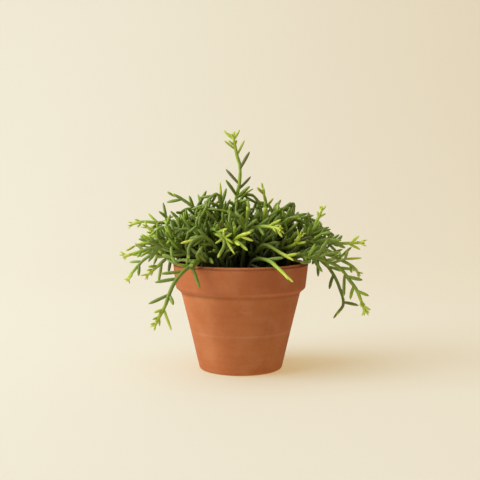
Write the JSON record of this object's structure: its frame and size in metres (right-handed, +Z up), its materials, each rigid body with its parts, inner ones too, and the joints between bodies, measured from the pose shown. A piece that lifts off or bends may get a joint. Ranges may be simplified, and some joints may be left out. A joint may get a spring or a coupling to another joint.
{
  "type": "potted coral cactus",
  "caption": "Dome of thin, branching green cactus stems, arching and trailing over the rim of a tapered terracotta pot with a deep rim band.",
  "frame": {"origin": "centre of the pot's underside, on the surface that it stands on", "axes": "+Z up along the pot's axis, -Y towards the side that faces the viewer, +X to that viewer's right"},
  "size_m": [0.2064, 0.1712, 0.197],
  "materials": {
    "terracotta": "matte",
    "soil": "matte",
    "green_skin": "satin",
    "young_skin": "satin"
  },
  "bodies": {
    "root": {"terracotta_pot": "terracotta", "potting_soil": "soil", "arching_stem_front": "green_skin", "arching_stem_left": "green_skin", "arching_stem_outer_right": "green_skin", "arching_stem_right": "green_skin", "back_trailing_stem_01": "green_skin", "back_trailing_stem_02": "green_skin", "back_trailing_stem_03": "green_skin", "back_trailing_stem_04": "green_skin", "band_stem_front": "young_skin", "crown_stem": "green_skin", "drooping_stem_left": "green_skin", "drooping_stem_right": "green_skin", "far_stem_left": "young_skin", "far_stem_right": "green_skin", "forked_stem_left": "green_skin", "inner_stem_01": "green_skin", "inner_stem_02": "green_skin", "inner_stem_03": "green_skin", "inner_stem_04": "green_skin", "inner_stem_05": "green_skin", "inner_stem_06": "green_skin", "inner_stem_07": "green_skin", "inner_stem_08": "green_skin", "inner_stem_09": "green_skin", "inner_stem_10": "green_skin", "inner_stem_11": "green_skin", "inner_stem_12": "green_skin", "leaning_stem_right": "green_skin", "level_stem_front": "green_skin", "level_stem_left": "green_skin", "lime_stem_front": "young_skin", "lime_stem_left": "young_skin", "lime_stem_right": "young_skin", "low_stem_left": "green_skin", "outer_stem_01": "green_skin", "outer_stem_02": "green_skin", "outer_stem_03": "green_skin", "outer_stem_04": "green_skin", "outer_stem_05": "green_skin", "outer_stem_06": "green_skin", "outer_stem_07": "green_skin", "outer_stem_08": "green_skin", "outer_stem_09": "green_skin", "rim_stem_front": "green_skin", "spreading_stem_right": "green_skin", "star_stem_front": "young_skin", "star_stem_left": "young_skin", "star_stem_right": "young_skin", "trailing_stem_left": "green_skin", "trailing_stem_right": "green_skin", "upright_stem_right": "young_skin"}
  },
  "joints": []
}
